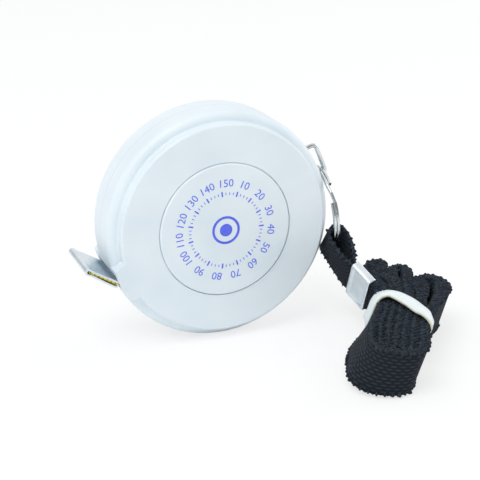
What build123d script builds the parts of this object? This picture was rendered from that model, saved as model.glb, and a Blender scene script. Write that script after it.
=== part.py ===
from build123d import *
from math import acos, asin, atan2, cos, degrees, hypot, pi, radians, sin, sqrt, tan
import os

# Round push-button tape measure with a folded lanyard, in millimetres.
# The case stands on its rim: +X right, +Y out of the back face, +Z up, origin at the back face's centre.

# Tape and drum, which set the size of the case
tape_width = 12.7
tape_length = 1500.0
tape_thickness = 0.3
tape_side_gap = 0.4            # wound tape to each cover
tape_gap = 0.35                # wound tape to the straight lead
winding_gap = 0.1              # wound tape to the drum
winding_room = 1.98            # wound tape to the case
drum_radius = 15.2
drum_wall = 1.2
drum_front_depth = 2.7         # depths are measured from the front face
web_depth = 5.0
web_thickness = 1.2
web_hole_radius = 8.5
drum_fit = 0.08                # drum on its bearing rib

# Case
wall = 1.4
plate_inset = 2.2              # rim to the raised plate
plate_step = 2.4               # plate's height over the shoulder
plate_edge_fillet = 0.5
shoulder_radius = 1.8
cove_radius = 0.35
rib_height = 1.2
rib_wall = 1.0

# Push button and its brake
button_radius = 14.5
button_gap = 0.2               # button to the edge of its hole
button_proud = 0.3
button_cap = 1.4
button_edge_fillet = 0.4
button_travel = 1.2
post_radius = 3.0
post_shoulder = 0.6            # step that carries the spring cover
post_tip_gap = 0.7             # post to the pressed button
slide_fit = 0.08               # button's sleeve on the post
sleeve_wall = 1.1
sleeve_depth = 6.4
stem_count = 3
stem_inner_radius = 6.2
stem_outer_radius = 8.1
stem_arc = 40.0
stem_fit = 0.05
stem_tip = 0.3                 # how far a stem passes the brake ring
brake_inset = 2.0              # brake ring to the drum's bore
brake_thickness = 1.0
brake_gap = 0.1
cover_gap = 0.2                # pressed stems to the spring cover
cover_thickness = 0.4
cover_inset = 1.1              # spring cover to the drum's bore
cover_fit = 0.02
spring_wire = 0.5
spring_radius = 5.0
spring_pitch = 1.4
spring_gap = 0.05              # spring to its two seats
mainspring_strip = 0.25
mainspring_turns = 6
mainspring_gap = 0.2           # mainspring to its chamber

# Folds in sheet, webbing and wire
fold_share = 0.49              # of the run across a fold, taken by each of its two corners

# Tape mouth and end tab
tape_angle = 150.0             # direction the tape leaves in, from +X towards +Z
tongue_rim_half_angle = 6.7    # plate's tongue at the rim
tongue_root_half_angle = 10.8  # and at the plate's edge
mouth_height = 2.8
mouth_depth = 0.3              # tab's rear end to the bottom of the mouth
slot_height = 1.2
slot_side_gap = 0.25
slot_length = 9.0
lead_start = -1.0              # along the tape from where it leaves the winding
tab_width = 13.5
tab_side_gap = 0.2
tab_length = 8.2
tab_rear = 15.1
tab_sheet = 0.4
tab_clearance = 0.06           # leaf to tape
tab_bead = 0.62                # rolled tip, to the middle of the sheet
tab_bead_length = 1.5
tab_splay = 0.35               # lower leaf's drop at its rear end
tab_curl = 0.8

# Wire bail on the rim
bail_rise = 8.95               # pivot over the case's axis
bail_wire = 1.0
bail_half_span = 3.85
bail_bar_half = 3.5
bail_reach = 2.6               # bar's middle to the rim
bail_pivot_depth = 2.1         # pivot to the rim
bail_bend = 1.0
bail_foot = 1.6
bail_foot_bend = 0.7
bail_fit = 0.06
bail_slot_gap = 0.2
bail_swing = 10.0
bail_boss_wall = 0.8

# Split ring
ring_tuck = 3.55               # half the webbing's width, less the ring's reach past the case's face
ring_radial = 1.0
ring_axial = 0.6
ring_corner = 0.2
ring_turn_gap = 0.1
ring_gap = 0.2                 # ring to the bail's lower leg
ring_offset = 0.05             # ring's top to the rim, sideways
ring_lean = 4.5                # bottom stands out from the case, degrees
ring_yaw = 4.0                 # front swings in over the case's face, degrees
ring_joggle = 26.0             # angle over which one turn climbs to the next
ring_joggle_angle = -40.0      # its middle, from the front downwards

# Lanyard webbing
webbing_width = 10.0
webbing_thickness = 0.75
loop_corner_depth = 6.66       # loop's inner back corner behind the case's front face
loop_turn_out = 20.0           # strap leaves the ring's plane by this angle
loop_side_gap = 0.29           # ring to the webbing on each side, at the loop's inner end
loop_end_gap = 0.34            # and beyond the ring
loop_length = 7.8              # ring to the crimp
loop_bend = 3.0
crimp_length = 5.8
crimp_wall = 0.45
crimp_gap = 0.12
crimp_edge = 0.3
crimp_dent = 0.25
strap_pull = 3.5               # how far each end's direction carries into the strap
strap_sections = 5

# Hank: the doubled webbing folded back and forth, drawn in at the waist
hank_layer = 0.5
hank_pitch = 0.94              # layer to layer
hank_passes = 7
hank_angle = 55.2              # direction from the near end to the far loops
hank_beside = 2.0              # waist past the case's rim
hank_ahead = 27.4              # and in front of the case's face
hank_waist_half = 2.0
hank_start = 8.0
hank_bend = 8.0
hank_near_reach = 12.0         # waist to the outer fold at the near end
inner_reaches = [7.8, 9.8]     # and to the two inner folds
hank_end_reach = 5.2
loop_mids = [(18.0, -6.7), (20.0, -2.35), (20.0, 1.8)]
loop_tips = [(25.8, -6.6), (32.5, 1.8), (34.0, 8.6)]
loop_headings = [-14.0, 4.0, 20.0]
loop_radii = [2.6, 1.9, 1.5]
loop_mid_half = 1.05
measure_step = 0.4             # points along the layers, for the least gap
measure_apart = 4.0
band_width = 3.0
band_thickness = 0.5
band_gap = 0.1

# Sizes that follow
case_thickness = tape_width + 2 * (tape_side_gap + wall)
wound_radius = sqrt((drum_radius + winding_gap) ** 2 + tape_length * tape_thickness / pi)
tape_line = wound_radius + tape_gap + tape_thickness / 2
plate_radius = wound_radius + winding_room + wall
case_radius = plate_radius + plate_inset
drum_bore = drum_radius - drum_wall
ring_radius = case_thickness / 2 + webbing_width / 2 - ring_tuck
hole_radius = button_radius + button_gap
seam_y = -case_thickness / 2
floor_z = -case_radius


def front_y(depth):
    return depth - case_thickness


def back_y(depth):
    return -depth


def polar(radius, angle, y=0.0):
    return Vector(radius * cos(radians(angle)), y, radius * sin(radians(angle)))


def turned(outline, rounds=(), arc=360.0):
    # Solid of revolution about Y from (radius, y) corners, some of them rounded
    face = make_face(Polyline(*outline, close=True))
    for index, radius in rounds:
        corner = Vector(*outline[index])
        nearest = min(face.vertices(), key=lambda vertex: (Vector(vertex.X, vertex.Y) - corner).length)
        face = fillet(nearest, radius)
    return revolve(face, Axis.Y, arc)


def ring_about_y(outer, inner, low, high, arc=360.0):
    return turned([(inner, low), (outer, low), (outer, high), (inner, high)], arc=arc)


def disc_about_y(radius, low, high):
    return ring_about_y(radius, 0, low, high)


def block(center, along, across, lengths):
    # Box with its X along one direction, its Y along the other
    return Plane(center, x_dir=along, z_dir=along.cross(across)) * Box(*lengths)


def left_of(direction):
    return Vector(-direction.Y, direction.X)


def route(points, radii):
    # Straight runs joined by tangent arcs, as (start, end, turn) pieces in one plane.
    # A corner with no radius is as round as the shorter of its two runs lets it be.
    corners = [Vector(*point) for point in points]
    pieces = []
    here = corners[0]
    for before, corner, after, radius in zip(corners, corners[1:], corners[2:], radii):
        into = (corner - before).normalized()
        out = (after - corner).normalized()
        turn = atan2(into.cross(out).Z, into.dot(out))
        shorter = min((corner - before).length, (after - corner).length)
        setback = radius * tan(abs(turn) / 2) if radius else shorter * fold_share
        start = corner - into * setback
        end = corner + out * setback
        pieces += [(here, start, 0.0), (start, end, turn)]
        here = end
    return pieces + [(here, corners[-1], 0.0)]


def beside(piece, distance):
    # Start, middle and end of a piece moved sideways to the left
    start, end, turn = piece
    chord = (end - start).normalized()
    first = chord.rotate(Axis.Z, -degrees(turn) / 2)
    last = chord.rotate(Axis.Z, degrees(turn) / 2)
    bulge = (end - start).length / 2 * tan(turn / 4)
    middle = (start + end) / 2 - left_of(chord) * bulge
    return (
        start + left_of(first) * distance,
        middle + left_of(chord) * distance,
        end + left_of(last) * distance,
    )


def side(pieces, distance):
    edges = []
    for piece in pieces:
        start, middle, end = beside(piece, distance)
        edges.append(ThreePointArc(start, middle, end) if piece[2] else Line(start, end))
    return edges


def band_face(pieces, thickness):
    half = thickness / 2
    left = side(pieces, half)
    right = side(pieces, -half)
    return make_face(left + right + [Line(left[0] @ 0, right[0] @ 0), Line(left[-1] @ 1, right[-1] @ 1)])


def doubled_face(pieces, pitch, thickness):
    # Two layers side by side along the route, joined by a round fold at its end
    outer = pitch / 2 + thickness / 2
    inner = pitch / 2 - thickness / 2
    edges = []
    for distance in (outer, inner):
        left = side(pieces, distance)
        right = side(pieces, -distance)
        last_start, last_end, _ = pieces[-1]
        tip = last_end + (last_end - last_start).normalized() * distance
        edges += left + right + [ThreePointArc(left[-1] @ 1, tip, right[-1] @ 1)]
    for sign in (1, -1):
        edges.append(Line(beside(pieces[0], sign * outer)[0], beside(pieces[0], sign * inner)[0]))
    return make_face(edges)


def save(name, solid):
    solid.label = name
    export_step(solid, f"parts/{name}.step")


# Directions and places that several pieces share
tape_along = polar(1, tape_angle)
tape_out = polar(1, tape_angle + 90)
tape_foot = polar(tape_line, tape_angle + 90, seam_y)
mouth_angle = tape_angle + 90 - degrees(acos(tape_line / case_radius))
bail_pivot_radius = case_radius - bail_pivot_depth
bail_angle = degrees(asin(bail_rise / bail_pivot_radius))
bail_out = polar(1, bail_angle)
bail_across = polar(1, bail_angle + 90)
bail_bar_radius = case_radius + bail_reach


def on_tape(along, out=0.0):
    return tape_foot + tape_along * along + tape_out * out


def on_bail(across, radius):
    return bail_out * radius + bail_across * across + Vector(0, seam_y, 0)


# Case shells, both from one half profile by depth from their own faces
def shell(hole, depth_y):
    outline = [
        (hole, 0),
        (plate_radius, 0),
        (plate_radius, plate_step),
        (case_radius, plate_step),
        (case_radius, case_thickness / 2),
        (case_radius - wall, case_thickness / 2),
        (case_radius - wall, plate_step + wall),
        (plate_radius - wall, plate_step + wall),
        (plate_radius - wall, wall),
        (hole, wall),
    ]
    rounds = [(1, plate_edge_fillet), (2, cove_radius), (3, shoulder_radius)]
    body = turned([(radius, depth_y(depth)) for radius, depth in outline], rounds)
    half = disc_about_y(case_radius, depth_y(0), seam_y)
    body = body + tongue(depth_y) + (bail_boss() & half)
    return body - tape_mouth() - bail_slots()


def tongue(depth_y):
    # The plate runs out to the rim over the mouth
    root = plate_radius - wall
    past_rim = case_radius + wall
    corners = [
        polar(root, mouth_angle - tongue_root_half_angle),
        polar(plate_radius, mouth_angle - tongue_root_half_angle),
        polar(past_rim, mouth_angle - tongue_rim_half_angle),
        polar(past_rim, mouth_angle + tongue_rim_half_angle),
        polar(plate_radius, mouth_angle + tongue_root_half_angle),
        polar(root, mouth_angle + tongue_root_half_angle),
    ]
    face = make_face(Polyline(*corners, close=True))
    reach = plate_step + shoulder_radius + cove_radius
    wedge = Pos(0, depth_y(reach / 2), 0) * extrude(face, reach / 2, dir=(0, 1, 0), both=True)
    return wedge & disc_about_y(case_radius, depth_y(0), depth_y(reach))


def tape_mouth():
    # A wide mouth for the tab's rear end, and a slot for the tape behind it
    slot_width = tape_width + 2 * slot_side_gap
    mouth_width = tab_width + 2 * tab_side_gap
    depth = tab_rear - mouth_depth
    slot = block(on_tape(depth), tape_along, Vector(0, 1, 0), (2 * slot_length, slot_width, slot_height))
    mouth = block(on_tape(depth + tab_length / 2), tape_along, Vector(0, 1, 0),
                  (tab_length, mouth_width, mouth_height))
    return slot + mouth


def bail_boss():
    # Bearing block inside the rim for the bail's two feet
    half_height = bail_wire / 2 + bail_fit + bail_boss_wall
    low = bail_pivot_radius - half_height
    high = case_radius - wall / 2
    length = 2 * (bail_half_span + bail_foot + bail_boss_wall)
    return block(on_bail(0, (low + high) / 2), bail_out, Vector(0, 1, 0), (high - low, 2 * half_height, length))


def bail_slots():
    bore_length = 2 * (bail_half_span + bail_foot + bail_fit)
    bore = Plane(on_bail(0, bail_pivot_radius), z_dir=bail_across) * Cylinder(bail_wire / 2 + bail_fit, bore_length)
    low = bail_pivot_radius - bail_wire / 2 - bail_fit
    high = case_radius + wall
    reach = case_radius - bail_pivot_radius
    half_height = reach * tan(radians(bail_swing)) + bail_wire / 2 / cos(radians(bail_swing)) + bail_slot_gap
    inner = bail_half_span - bail_wire / 2 - bail_slot_gap
    outer = bail_half_span + bail_foot_bend + bail_fit
    for sign in (1, -1):
        center = on_bail(sign * (inner + outer) / 2, (low + high) / 2)
        bore += block(center, bail_out, Vector(0, 1, 0), (high - low, 2 * half_height, outer - inner))
    return bore


front_shell = shell(hole_radius, front_y)

rest_button_y = front_y(button_cap - button_proud)
web_back_y = front_y(web_depth + web_thickness)
brake_front_y = web_back_y + brake_gap
brake_back_y = brake_front_y + brake_thickness
stem_end_y = brake_back_y + stem_tip
cover_front_y = stem_end_y + button_travel + cover_gap
cover_back_y = cover_front_y + cover_thickness
drum_back_y = back_y(wall + tape_side_gap)
rib_radius = drum_bore - drum_fit
rib_front_y = back_y(wall + rib_height)

back_shell = shell(0, back_y)
back_shell += disc_about_y(post_radius, rest_button_y + button_travel + post_tip_gap, back_y(wall))
back_shell += disc_about_y(post_radius + post_shoulder, cover_back_y, back_y(wall))
back_shell += ring_about_y(rib_radius, rib_radius - rib_wall, rib_front_y, back_y(wall))


# Push button with its sleeve and stems, and the brake ring that the stems carry
def stems(extra, low, high):
    slack = degrees(extra / stem_inner_radius)
    sector = ring_about_y(stem_outer_radius + extra, stem_inner_radius - extra, low, high, stem_arc + 2 * slack)
    sector = sector.rotate(Axis.Y, -slack)
    return [sector.rotate(Axis.Y, index * 360 / stem_count) for index in range(stem_count)]


cap_outline = [
    (0, front_y(-button_proud)),
    (button_radius, front_y(-button_proud)),
    (button_radius, rest_button_y),
    (0, rest_button_y),
]
push_button = turned(cap_outline, [(1, button_edge_fillet)])
sleeve_bore = post_radius + slide_fit
push_button += ring_about_y(sleeve_bore + sleeve_wall, sleeve_bore, rest_button_y, front_y(sleeve_depth))
push_button += stems(0, rest_button_y, stem_end_y)

brake_hole = spring_radius + spring_wire
brake_ring = ring_about_y(drum_bore - brake_inset, brake_hole, brake_front_y, brake_back_y)
brake_ring -= stems(stem_fit, brake_front_y, brake_back_y)

spring_cover = ring_about_y(drum_bore - cover_inset, post_radius + cover_fit, cover_front_y, cover_back_y)

# Button spring between the button and the spring cover
spring_low = rest_button_y + spring_wire / 2 + spring_gap
spring_high = cover_front_y - spring_wire / 2 - spring_gap
coil = Helix(spring_pitch, spring_high - spring_low, spring_radius, center=(0, spring_low, 0), direction=(0, 1, 0))
button_spring = sweep(Plane(coil @ 0, z_dir=coil % 0) * Circle(spring_wire / 2), path=coil, is_frenet=True)

# Drum, the tape wound on it, and the mainspring inside
spool = ring_about_y(drum_radius, drum_bore, front_y(drum_front_depth), drum_back_y)
spool += ring_about_y(drum_radius - drum_wall / 2, web_hole_radius, front_y(web_depth), web_back_y)
tape_winding = ring_about_y(wound_radius, drum_radius + winding_gap, seam_y - tape_width / 2, seam_y + tape_width / 2)

spring_inner = post_radius + post_shoulder + mainspring_gap + mainspring_strip / 2
spring_outer = rib_radius - rib_wall - mainspring_gap - mainspring_strip / 2
half_turns = 2 * mainspring_turns
growth = (spring_outer - spring_inner) / half_turns
crossings = [Vector((-1) ** k * (spring_inner + k * growth), 0) for k in range(half_turns + 1)]
spiral = [(start, end, pi) for start, end in zip(crossings, crossings[1:])]
mainspring_low = cover_back_y + mainspring_gap
mainspring_high = rib_front_y - mainspring_gap
spring_plane = Plane((0, mainspring_high, 0), x_dir=(1, 0, 0), z_dir=(0, -1, 0))
mainspring = extrude(spring_plane * band_face(spiral, mainspring_strip), mainspring_high - mainspring_low)

# Straight tape and the folded tab clamped on its end
leaf = tape_thickness / 2 + tab_clearance + tab_sheet / 2
tab_tip = tab_rear + tab_length - tab_sheet / 2
bead_start = tab_tip - tab_bead_length
tab_points = [
    (tab_rear, -leaf),
    (bead_start, -leaf),
    (tab_tip, -tab_bead),
    (tab_tip, tab_bead),
    (bead_start, leaf),
    (tab_rear + tab_curl, leaf + tab_splay),
    (tab_rear + tab_sheet / 2, leaf + tab_splay - tab_sheet / 2),
]
tab_rounds = [tab_bead_length / 2, None, None, tab_bead_length / 2, None]
tab_plane = Plane(tape_foot, x_dir=tape_along, z_dir=tape_along.cross(tape_out))
tab_face = tab_plane * band_face(route(tab_points, tab_rounds), tab_sheet)
end_tab = extrude(tab_face, tab_width / 2, both=True)

lead_end = tab_tip - tab_bead
lead_length = lead_end - lead_start
tape_lead = block(on_tape((lead_start + lead_end) / 2), tape_along, Vector(0, 1, 0),
                  (lead_length, tape_width, tape_thickness))

# Wire bail, with two feet turned outwards in the bearing block
bail_points = [
    on_bail(-bail_half_span - bail_foot, bail_pivot_radius),
    on_bail(-bail_half_span, bail_pivot_radius),
    on_bail(-bail_bar_half, bail_bar_radius),
    on_bail(bail_bar_half, bail_bar_radius),
    on_bail(bail_half_span, bail_pivot_radius),
    on_bail(bail_half_span + bail_foot, bail_pivot_radius),
]
bail_path = FilletPolyline(*bail_points, radius=[bail_foot_bend, bail_bend, bail_bend, bail_foot_bend])
bail = sweep(Plane(bail_path @ 0, z_dir=bail_path % 0) * Circle(bail_wire / 2), path=bail_path)

# Split ring, hung on the bail's lower leg and leaning out past the rim
leg_start = bail_points[1]
leg_end = bail_points[2]
leg_slope = (leg_end.Z - leg_start.Z) / (leg_end.X - leg_start.X)
ring_level = (ring_axial + ring_turn_gap) / 2
ring_half = ring_level + ring_axial / 2
ring_top_x = case_radius + ring_offset
leg_z = leg_start.Z + (ring_top_x - leg_start.X) * leg_slope
leg_top_z = leg_z + ring_half * leg_slope + bail_wire / 2 * sqrt(1 + leg_slope ** 2)
ring_front = Vector(-sin(radians(ring_yaw)), -cos(radians(ring_yaw)), 0)
ring_outward = Vector(cos(radians(ring_yaw)), -sin(radians(ring_yaw)), 0)
ring_down = ring_outward * sin(radians(ring_lean)) - Vector(0, 0, cos(radians(ring_lean)))
ring_normal = ring_front.cross(ring_down)
ring_top = Vector(ring_top_x, seam_y, leg_top_z + ring_gap + ring_radial / 2)
ring_center = ring_top + ring_down * ring_radius
ring_plane = Plane(ring_center, x_dir=ring_front, z_dir=ring_normal)


def ring_section(angle, level):
    heading = Vector(cos(radians(angle)), sin(radians(angle)), 0)
    frame = Plane(heading * ring_radius + Vector(0, 0, level), x_dir=heading, z_dir=heading.cross(Vector(0, 0, 1)))
    return frame * RectangleRounded(ring_radial, ring_axial, ring_corner)


half_joggle = ring_joggle / 2
first_angle = ring_joggle_angle + half_joggle
last_angle = ring_joggle_angle - half_joggle
split_ring = revolve(ring_section(first_angle, -ring_level), Axis.Z, 360 - ring_joggle)
split_ring += revolve(ring_section(first_angle, ring_level), Axis.Z, 360 - ring_joggle)
split_ring += loft([
    ring_section(last_angle, -ring_level),
    ring_section(ring_joggle_angle, 0),
    ring_section(first_angle, ring_level),
], ruled=True)
split_ring = ring_plane * split_ring

# Webbing loop through the ring, and the crimp on its neck
inner_edge = sqrt((ring_radius - ring_radial / 2) ** 2 - (webbing_width / 2) ** 2)
loop_behind = ring_radius - inner_edge + loop_end_gap
corner_in = ring_radius - loop_behind - webbing_thickness
corner_ahead = case_thickness / 2 - loop_corner_depth
hold = acos(corner_ahead / hypot(corner_in, webbing_width / 2)) - atan2(webbing_width / 2, corner_in)
ring_radial_dir = ring_front * cos(hold) + ring_down * sin(hold)
strap_across = ring_front * sin(hold) - ring_down * cos(hold)
strap_along = ring_radial_dir * cos(radians(loop_turn_out)) + ring_normal * sin(radians(loop_turn_out))
loop_middle = ring_center + ring_radial_dir * ring_radius
strap_square = strap_along.cross(strap_across)
loop_plane = Plane(loop_middle, x_dir=strap_along, z_dir=strap_across * -1)
layer_half = (webbing_thickness + crimp_gap) / 2
loop_half = ring_half + loop_behind * tan(radians(loop_turn_out)) + loop_side_gap + webbing_thickness / 2
crimp_middle = loop_length + crimp_length / 2
loop_points = [
    (crimp_middle, layer_half),
    (loop_length, layer_half),
    (-loop_behind - webbing_thickness / 2, loop_half),
    (-loop_behind - webbing_thickness / 2, -loop_half),
    (loop_length, -layer_half),
    (crimp_middle, -layer_half),
]
loop_rounds = [loop_bend, None, None, loop_bend]
loop_face = loop_plane * band_face(route(loop_points, loop_rounds), webbing_thickness)
lanyard_loop = extrude(loop_face, webbing_width / 2, both=True)

strap_thickness = 2 * webbing_thickness + crimp_gap
crimp_center = loop_middle + strap_along * crimp_middle
crimp_inside = (crimp_length, webbing_width + 2 * crimp_gap, strap_thickness + 2 * crimp_gap)
crimp_outside = (crimp_length, crimp_inside[1] + 2 * crimp_wall, crimp_inside[2] + 2 * crimp_wall)
crimp_box = Box(*crimp_outside)
crimp_box = fillet(crimp_box.edges().filter_by(Axis.X), crimp_edge)
dent_radius = (crimp_length / 2) ** 2 / (2 * crimp_dent)
for sign in (1, -1):
    dent_center = sign * (crimp_outside[2] / 2 + dent_radius - crimp_dent)
    crimp_box -= Pos(0, 0, dent_center) * Rot(90, 0, 0) * Cylinder(dent_radius, crimp_inside[1])
crimp_box -= Box(*crimp_inside)
lanyard_crimp = Plane(crimp_center, x_dir=strap_along, z_dir=strap_square) * crimp_box

# Hank route in its own plane: x from the near end to the far loops, y to the left
lane = [hank_pitch * (hank_passes - 1 - 2 * index) for index in range(hank_passes)]
hank_points = [(hank_start, lane[0])]
hank_rounds = []


def hank_corner(x, y, radius):
    hank_points.append((x, y))
    hank_rounds.append(radius)


def hank_fold_at(x, y, heading, half):
    # Two corners that turn the strap back on itself, first the one on the right
    across = Vector(-sin(radians(heading)), cos(radians(heading))) * half
    return (x - across.X, y - across.Y), (x + across.X, y + across.Y)


hank_corner(-hank_near_reach, lane[0], None)
hank_corner(-hank_near_reach, -lane[0], None)
for index, (mid, tip, heading, half) in enumerate(zip(loop_mids, loop_tips, loop_headings, loop_radii)):
    lane_out = lane[hank_passes - 1 - 2 * index]
    lane_back = lane[hank_passes - 2 - 2 * index]
    right, left = hank_fold_at(*tip, heading, half)
    hank_corner(hank_waist_half, lane_out, hank_bend)
    hank_corner(mid[0], mid[1] - loop_mid_half, hank_bend)
    hank_corner(*right, None)
    hank_corner(*left, None)
    hank_corner(mid[0], mid[1] + loop_mid_half, hank_bend)
    hank_corner(hank_waist_half, lane_back, hank_bend)
    if index < len(inner_reaches):
        hank_corner(-inner_reaches[index], lane_back, None)
        hank_corner(-inner_reaches[index], lane_back + 2 * hank_pitch, None)
hank_points.append((-hank_end_reach, lane[1]))
hank_route = route(hank_points, hank_rounds)

hank_bottom_z = floor_z + band_thickness + band_gap
hank_along = Vector(cos(radians(hank_angle)), sin(radians(hank_angle)), 0)
hank_left = Vector(-sin(radians(hank_angle)), cos(radians(hank_angle)), 0)
hank_origin = Vector(case_radius + hank_beside, front_y(-hank_ahead), hank_bottom_z)
hank_plane = Plane(hank_origin, x_dir=hank_along, z_dir=(0, 0, 1))
lanyard_hank = extrude(hank_plane * doubled_face(hank_route, hank_pitch, hank_layer), webbing_width)


def layer_points(pieces, distance):
    # Points along one layer, for measuring the gaps between layers
    points = []
    for piece in pieces:
        start, middle, end = beside(piece, distance)
        edge = ThreePointArc(start, middle, end) if piece[2] else Line(start, end)
        count = int(edge.length / measure_step) + 1
        points += [edge @ (index / count) for index in range(count)]
    return points


def least_gap(points):
    skip = int(measure_apart / measure_step)
    flat = [(point.X, point.Y) for point in points]
    nearest = min(
        hypot(x - u, y - v)
        for index, (x, y) in enumerate(flat)
        for u, v in flat[index + skip:]
    )
    return nearest - hank_layer


there = layer_points(hank_route, hank_pitch / 2)
back = layer_points(hank_route, -hank_pitch / 2)
print("hank strap length", round(sum(edge.length for edge in side(hank_route, 0)) * 2, 1))
print("least gap in the hank", round(least_gap(there + back[::-1]), 2))

# Rubber band round the waist
waist_half = lane[0] + hank_pitch / 2 + hank_layer / 2
band_frame = Plane(hank_origin + Vector(0, 0, webbing_width / 2), x_dir=hank_left, z_dir=hank_along)
waist = Rectangle(2 * waist_half, webbing_width)
band_ring = offset(waist, band_gap + band_thickness) - offset(waist, band_gap)
rubber_band = extrude(band_frame * band_ring, band_width / 2, both=True)

# Strap from the crimp down to the hank's first pass, turning on edge as it goes
strap_from = loop_middle + strap_along * (loop_length + crimp_length)
strap_to = hank_origin + hank_along * hank_start + hank_left * lane[0] + Vector(0, 0, webbing_width / 2)


def strap_section(share):
    pull_out = strap_along * strap_pull
    pull_in = hank_along * strap_pull
    knots = [strap_from, strap_from + pull_out, strap_to + pull_in, strap_to]
    rest = 1 - share
    weights = [rest ** 3, 3 * rest ** 2 * share, 3 * rest * share ** 2, share ** 3]
    slopes = [-3 * rest ** 2, 3 * rest ** 2 - 6 * rest * share, 6 * rest * share - 3 * share ** 2, 3 * share ** 2]
    middle = sum((knot * weight for knot, weight in zip(knots, weights)), Vector())
    heading = sum((knot * slope for knot, slope in zip(knots, slopes)), Vector()).normalized()
    across = strap_across * rest + Vector(0, 0, 1) * share
    across = (across - heading * across.dot(heading)).normalized()
    thickness = strap_thickness * rest + (hank_pitch + hank_layer) * share
    return Plane(middle, x_dir=across, z_dir=heading) * Rectangle(webbing_width, thickness)


strap_inside = Plane(crimp_center, x_dir=strap_across, z_dir=strap_along) * Rectangle(webbing_width, strap_thickness)
strap_outside = [strap_section(index / (strap_sections - 1)) for index in range(strap_sections)]
lanyard_strap = loft([strap_inside] + strap_outside, ruled=True)

os.makedirs("parts", exist_ok=True)
save("front_shell", front_shell)
save("back_shell", back_shell)
save("push_button", push_button)
save("brake_ring", brake_ring)
save("button_spring", button_spring)
save("spring_cover", spring_cover)
save("spool", spool)
save("mainspring", mainspring)
save("tape_winding", tape_winding)
save("tape_lead", tape_lead)
save("end_tab", end_tab)
save("bail", bail)
save("split_ring", split_ring)
save("lanyard_loop", lanyard_loop)
save("lanyard_crimp", lanyard_crimp)
save("lanyard_strap", lanyard_strap)
save("lanyard_hank", lanyard_hank)
save("rubber_band", rubber_band)
print("bail pivot", on_bail(0, bail_pivot_radius), "across", bail_across)
print("ring center", ring_center, "normal", ring_normal)
print("tape foot", tape_foot, "tape line", tape_line)
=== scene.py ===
from math import cos, pi, radians, sin
import bmesh
import bpy
from mathutils import Matrix, Vector


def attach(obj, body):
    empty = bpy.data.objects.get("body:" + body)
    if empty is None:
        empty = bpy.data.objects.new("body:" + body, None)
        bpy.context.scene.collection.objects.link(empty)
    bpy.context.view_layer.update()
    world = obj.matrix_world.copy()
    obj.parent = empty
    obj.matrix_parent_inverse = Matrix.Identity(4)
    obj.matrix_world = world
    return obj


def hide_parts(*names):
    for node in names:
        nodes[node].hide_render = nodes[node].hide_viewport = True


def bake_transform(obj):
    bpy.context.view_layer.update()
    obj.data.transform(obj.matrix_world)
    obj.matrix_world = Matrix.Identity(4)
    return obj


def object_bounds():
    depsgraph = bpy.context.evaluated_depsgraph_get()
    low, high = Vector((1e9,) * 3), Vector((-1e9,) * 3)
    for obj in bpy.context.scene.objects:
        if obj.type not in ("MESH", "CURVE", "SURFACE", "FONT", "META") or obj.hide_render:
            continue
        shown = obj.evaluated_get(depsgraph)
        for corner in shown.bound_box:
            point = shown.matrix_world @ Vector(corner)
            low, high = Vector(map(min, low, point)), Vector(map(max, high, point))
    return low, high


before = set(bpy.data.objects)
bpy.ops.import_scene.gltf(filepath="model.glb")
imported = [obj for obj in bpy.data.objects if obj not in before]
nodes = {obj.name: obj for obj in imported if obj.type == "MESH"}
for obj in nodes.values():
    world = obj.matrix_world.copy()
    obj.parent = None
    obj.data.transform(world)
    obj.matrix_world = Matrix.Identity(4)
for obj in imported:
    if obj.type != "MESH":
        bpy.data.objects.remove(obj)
cadLow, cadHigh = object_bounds()
scene = bpy.context.scene
scene.view_settings.view_transform = "Standard"
mm = 0.001
print("frame loaded,", len(nodes), "nodes")

# frames of the lanyard and the tape, in millimetres, the same as in the part's source; only the crimp's askew turn is
# the visual's own
crimpPlace = {
    "middle": Vector((29.4574, -23.0922, -14.1283)),
    "along": Vector((0.340692, -0.723492, -0.600406)),
    "across": Vector((-0.10484, -0.663864, 0.740469)),
    "square": Vector((-0.934311, -0.189325, -0.302024)),
    "askew": 7.5, "askewSpan": (-9.5, -3.0),  # degrees, and where along the webbing the turn starts and is full
}
hankPlace = {
    "origin": Vector((27.005, -43.7, -24.405)),
    "along": Vector((0.57071, 0.82115, 0)),
    "left": Vector((-0.82115, 0.57071, 0)),
}
tapePlace = {
    "foot": Vector((-9.9625, -8.15, -17.2555)),
    "along": Vector((-0.866025, 0, 0.5)),
    "out": Vector((-0.5, 0, -0.866025)),
}


def onHank(x, y, z):
    return hankPlace["origin"] + hankPlace["along"] * x + hankPlace["left"] * y + Vector((0, 0, z))


def eased(low, high, value):
    share = min(max((value - low) / (high - low), 0.0), 1.0)
    return share * share * (3 - 2 * share)


def crimpTurn(along):
    # the clamp sits a little askew on the webbing, which straightens towards the ring
    angle = radians(crimpPlace["askew"]) * eased(*crimpPlace["askewSpan"], along)
    return Matrix.Rotation(angle, 3, crimpPlace["square"])


def onCrimp(along, square, across=0.0):
    flat = crimpTurn(along) @ (crimpPlace["along"] * along + crimpPlace["across"] * across)
    return crimpPlace["middle"] + flat + crimpPlace["square"] * square


def onTape(along, out, y):
    return tapePlace["foot"] + tapePlace["along"] * along + tapePlace["out"] * out + Vector((0, y, 0))


# node helpers
def linear(hexText):
    shares = [int(hexText[i:i + 2], 16) / 255 for i in (1, 3, 5)]
    return tuple(c / 12.92 if c <= 0.04045 else ((c + 0.055) / 1.055) ** 2.4 for c in shares) + (1.0,)


def setInputs(tree, node, values):
    # a socket is linked, and a constant is set on the input itself
    for key, value in values.items():
        socket = node.inputs[key]
        if isinstance(value, bpy.types.NodeSocket):
            tree.links.new(value, socket)
        else:
            socket.default_value = value


def addNode(tree, kind, settings=None, values=None):
    node = tree.nodes.new(kind)
    for key, value in (settings or {}).items():
        setattr(node, key, value)
    setInputs(tree, node, values or {})
    return node


def maths(tree, operation, *values):
    return addNode(tree, "ShaderNodeMath", {"operation": operation}, dict(enumerate(values))).outputs[0]


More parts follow.
